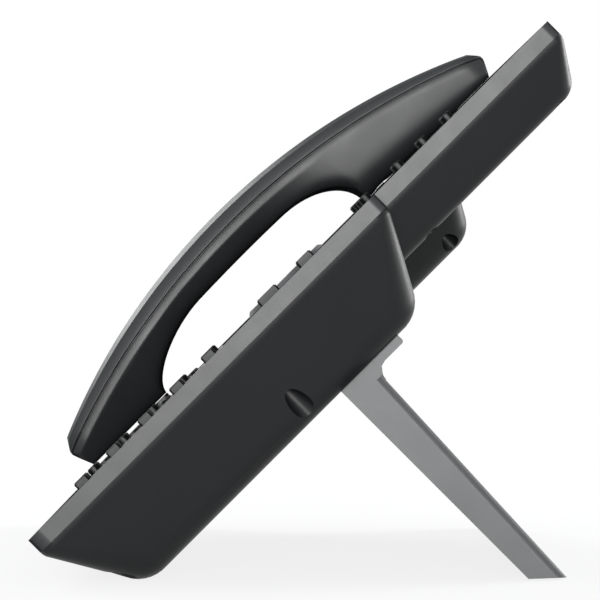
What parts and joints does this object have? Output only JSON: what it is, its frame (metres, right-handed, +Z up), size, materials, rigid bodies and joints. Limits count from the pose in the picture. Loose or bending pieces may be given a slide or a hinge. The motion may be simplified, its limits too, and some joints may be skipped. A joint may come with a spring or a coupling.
{
  "type": "desk ip phone",
  "caption": "Tilted desk phone with an arched lift-off handset, raised keys, navigation ring, colour display and a clip-on stand.",
  "frame": {"origin": "centre of the bounding box on the desk surface", "axes": "+X to the user's right across the phone, +Y away from the user, +Z up; the face is tilted 45 degrees towards -Y"},
  "size_m": [0.257, 0.175, 0.1844],
  "materials": {
    "case_front": "fine-grained charcoal moulded plastic",
    "case_rear": "fine-grained dark charcoal moulded plastic",
    "window": "glossy dark clear window",
    "lcd": "switched-off display panel",
    "lamp": "translucent red lamp",
    "label_film": "clear film over a plain label",
    "silicone": "grey silicone",
    "board": "green circuit board",
    "speaker": "black paper cone and frame",
    "metal": "tinned steel can",
    "socket": "black socket plastic",
    "key": "soft-touch dark grey key plastic",
    "nav": "satin grey plastic",
    "handset_back": "fine-grained charcoal plastic",
    "handset_front": "fine-grained charcoal plastic",
    "weight": "raw steel bar",
    "stand": "fine-grained mid-grey plastic",
    "rubber": "black rubber",
    "screw": "zinc-plated steel"
  },
  "bodies": {
    "body": {"front_case": "case_front", "rear_case": "case_rear", "display_window": "window", "lcd_panel": "lcd", "message_lamp": "lamp", "label_cover": "label_film", "key_mat": "silicone", "key_board": "board", "main_board": "board", "loudspeaker": "speaker", "hands_free_microphone": "metal", "network_jacks": "socket", "handset_jacks": "socket", "power_jack": "socket", "front_feet": "rubber", "case_screws": "screw"},
    "handset": {"handset_back": "handset_back", "handset_front": "handset_front", "ear_speaker": "speaker", "mouth_microphone": "metal", "handset_cord_jack": "socket", "handset_weight": "weight"},
    "hook": {"hook_lever": "key"},
    "stand_leg": {"stand": "stand", "stand_pad": "rubber"},
    "nav_tilt_plate": {"nav_pivot": "silicone"},
    "nav": {"nav_ring": "nav"},
    "select": {"select_key": "key"},
    "key_1_body": {"key_1": "key"},
    "key_2_body": {"key_2": "key"},
    "key_3_body": {"key_3": "key"},
    "key_4_body": {"key_4": "key"},
    "key_5_body": {"key_5": "key"},
    "key_6_body": {"key_6": "key"},
    "key_7_body": {"key_7": "key"},
    "key_8_body": {"key_8": "key"},
    "key_9_body": {"key_9": "key"},
    "key_star_body": {"key_star": "key"},
    "key_0_body": {"key_0": "key"},
    "key_hash_body": {"key_hash": "key"},
    "function_key_1_body": {"function_key_1": "key"},
    "function_key_2_body": {"function_key_2": "key"},
    "function_key_3_body": {"function_key_3": "key"},
    "function_key_4_body": {"function_key_4": "key"},
    "function_key_5_body": {"function_key_5": "key"},
    "function_key_6_body": {"function_key_6": "key"},
    "function_key_7_body": {"function_key_7": "key"},
    "function_key_8_body": {"function_key_8": "key"},
    "function_key_9_body": {"function_key_9": "key"},
    "function_key_10_body": {"function_key_10": "key"},
    "side_key_low_body": {"side_key_low": "key"},
    "side_key_high_body": {"side_key_high": "key"},
    "soft_key_1_body": {"soft_key_1": "key"},
    "soft_key_2_body": {"soft_key_2": "key"},
    "soft_key_3_body": {"soft_key_3": "key"},
    "soft_key_4_body": {"soft_key_4": "key"},
    "line_key_1_body": {"line_key_1": "key"},
    "line_key_2_body": {"line_key_2": "key"},
    "line_key_3_body": {"line_key_3": "key"}
  },
  "joints": [
    {"name": "handset_lift", "type": "slide", "parent": "body", "child": "handset", "axis": [0, -0.7071, 0.7071], "range_m": [0, 0.06]},
    {"name": "hook_rise", "type": "slide", "parent": "body", "child": "hook", "axis": [0, -0.7071, 0.7071], "range_m": [0, 0.004]},
    {"name": "stand_unhook", "type": "slide", "parent": "body", "child": "stand_leg", "axis": [0, -0.7071, -0.7071], "range_m": [0, 0.008]},
    {"name": "nav_left_right", "type": "hinge", "parent": "body", "child": "nav_tilt_plate", "pos_m": [0.05, -0.00078, 0.09322], "axis": [0, 0.7071, 0.7071], "range_deg": [-2, 2], "stiffness_Nm_per_rad": 0.3},
    {"name": "nav_up_down", "type": "hinge", "parent": "nav_tilt_plate", "child": "nav", "pos_m": [0.05, -0.00078, 0.09322], "axis": [1, 0, 0], "range_deg": [-2, 2], "stiffness_Nm_per_rad": 0.3},
    {"name": "select_press", "type": "slide", "parent": "body", "child": "select", "axis": [0, 0.7071, -0.7071], "range_m": [0, 0.0007], "stiffness_N_per_m": 500},
    {"name": "key_1_press", "type": "slide", "parent": "body", "child": "key_1_body", "axis": [0, 0.7071, -0.7071], "range_m": [0, 0.0009], "stiffness_N_per_m": 500},
    {"name": "key_2_press", "type": "slide", "parent": "body", "child": "key_2_body", "axis": [0, 0.7071, -0.7071], "range_m": [0, 0.0009], "stiffness_N_per_m": 500},
    {"name": "key_3_press", "type": "slide", "parent": "body", "child": "key_3_body", "axis": [0, 0.7071, -0.7071], "range_m": [0, 0.0009], "stiffness_N_per_m": 500},
    {"name": "key_4_press", "type": "slide", "parent": "body", "child": "key_4_body", "axis": [0, 0.7071, -0.7071], "range_m": [0, 0.0009], "stiffness_N_per_m": 500},
    {"name": "key_5_press", "type": "slide", "parent": "body", "child": "key_5_body", "axis": [0, 0.7071, -0.7071], "range_m": [0, 0.0009], "stiffness_N_per_m": 500},
    {"name": "key_6_press", "type": "slide", "parent": "body", "child": "key_6_body", "axis": [0, 0.7071, -0.7071], "range_m": [0, 0.0009], "stiffness_N_per_m": 500},
    {"name": "key_7_press", "type": "slide", "parent": "body", "child": "key_7_body", "axis": [0, 0.7071, -0.7071], "range_m": [0, 0.0009], "stiffness_N_per_m": 500},
    {"name": "key_8_press", "type": "slide", "parent": "body", "child": "key_8_body", "axis": [0, 0.7071, -0.7071], "range_m": [0, 0.0009], "stiffness_N_per_m": 500},
    {"name": "key_9_press", "type": "slide", "parent": "body", "child": "key_9_body", "axis": [0, 0.7071, -0.7071], "range_m": [0, 0.0009], "stiffness_N_per_m": 500},
    {"name": "key_star_press", "type": "slide", "parent": "body", "child": "key_star_body", "axis": [0, 0.7071, -0.7071], "range_m": [0, 0.0009], "stiffness_N_per_m": 500},
    {"name": "key_0_press", "type": "slide", "parent": "body", "child": "key_0_body", "axis": [0, 0.7071, -0.7071], "range_m": [0, 0.0009], "stiffness_N_per_m": 500},
    {"name": "key_hash_press", "type": "slide", "parent": "body", "child": "key_hash_body", "axis": [0, 0.7071, -0.7071], "range_m": [0, 0.0009], "stiffness_N_per_m": 500},
    {"name": "function_key_1_press", "type": "slide", "parent": "body", "child": "function_key_1_body", "axis": [0, 0.7071, -0.7071], "range_m": [0, 0.0009], "stiffness_N_per_m": 500},
    {"name": "function_key_2_press", "type": "slide", "parent": "body", "child": "function_key_2_body", "axis": [0, 0.7071, -0.7071], "range_m": [0, 0.0009], "stiffness_N_per_m": 500},
    {"name": "function_key_3_press", "type": "slide", "parent": "body", "child": "function_key_3_body", "axis": [0, 0.7071, -0.7071], "range_m": [0, 0.0009], "stiffness_N_per_m": 500},
    {"name": "function_key_4_press", "type": "slide", "parent": "body", "child": "function_key_4_body", "axis": [0, 0.7071, -0.7071], "range_m": [0, 0.0009], "stiffness_N_per_m": 500},
    {"name": "function_key_5_press", "type": "slide", "parent": "body", "child": "function_key_5_body", "axis": [0, 0.7071, -0.7071], "range_m": [0, 0.0009], "stiffness_N_per_m": 500},
    {"name": "function_key_6_press", "type": "slide", "parent": "body", "child": "function_key_6_body", "axis": [0, 0.7071, -0.7071], "range_m": [0, 0.0009], "stiffness_N_per_m": 500},
    {"name": "function_key_7_press", "type": "slide", "parent": "body", "child": "function_key_7_body", "axis": [0, 0.7071, -0.7071], "range_m": [0, 0.0009], "stiffness_N_per_m": 500},
    {"name": "function_key_8_press", "type": "slide", "parent": "body", "child": "function_key_8_body", "axis": [0, 0.7071, -0.7071], "range_m": [0, 0.0009], "stiffness_N_per_m": 500},
    {"name": "function_key_9_press", "type": "slide", "parent": "body", "child": "function_key_9_body", "axis": [0, 0.7071, -0.7071], "range_m": [0, 0.0009], "stiffness_N_per_m": 500},
    {"name": "function_key_10_press", "type": "slide", "parent": "body", "child": "function_key_10_body", "axis": [0, 0.7071, -0.7071], "range_m": [0, 0.0009], "stiffness_N_per_m": 500},
    {"name": "side_key_low_press", "type": "slide", "parent": "body", "child": "side_key_low_body", "axis": [0, 0.7071, -0.7071], "range_m": [0, 0.0009], "stiffness_N_per_m": 500},
    {"name": "side_key_high_press", "type": "slide", "parent": "body", "child": "side_key_high_body", "axis": [0, 0.7071, -0.7071], "range_m": [0, 0.0009], "stiffness_N_per_m": 500},
    {"name": "soft_key_1_press", "type": "slide", "parent": "body", "child": "soft_key_1_body", "axis": [0, 0.7071, -0.7071], "range_m": [0, 0.0009], "stiffness_N_per_m": 500},
    {"name": "soft_key_2_press", "type": "slide", "parent": "body", "child": "soft_key_2_body", "axis": [0, 0.7071, -0.7071], "range_m": [0, 0.0009], "stiffness_N_per_m": 500},
    {"name": "soft_key_3_press", "type": "slide", "parent": "body", "child": "soft_key_3_body", "axis": [0, 0.7071, -0.7071], "range_m": [0, 0.0009], "stiffness_N_per_m": 500},
    {"name": "soft_key_4_press", "type": "slide", "parent": "body", "child": "soft_key_4_body", "axis": [0, 0.7071, -0.7071], "range_m": [0, 0.0009], "stiffness_N_per_m": 500},
    {"name": "line_key_1_press", "type": "slide", "parent": "body", "child": "line_key_1_body", "axis": [0, 0.7071, -0.7071], "range_m": [0, 0.0009], "stiffness_N_per_m": 500},
    {"name": "line_key_2_press", "type": "slide", "parent": "body", "child": "line_key_2_body", "axis": [0, 0.7071, -0.7071], "range_m": [0, 0.0009], "stiffness_N_per_m": 500},
    {"name": "line_key_3_press", "type": "slide", "parent": "body", "child": "line_key_3_body", "axis": [0, 0.7071, -0.7071], "range_m": [0, 0.0009], "stiffness_N_per_m": 500}
  ],
  "couplings": [
    {"joint": "hook_rise", "follows": "handset_lift", "ratio": 0.0666}
  ]
}
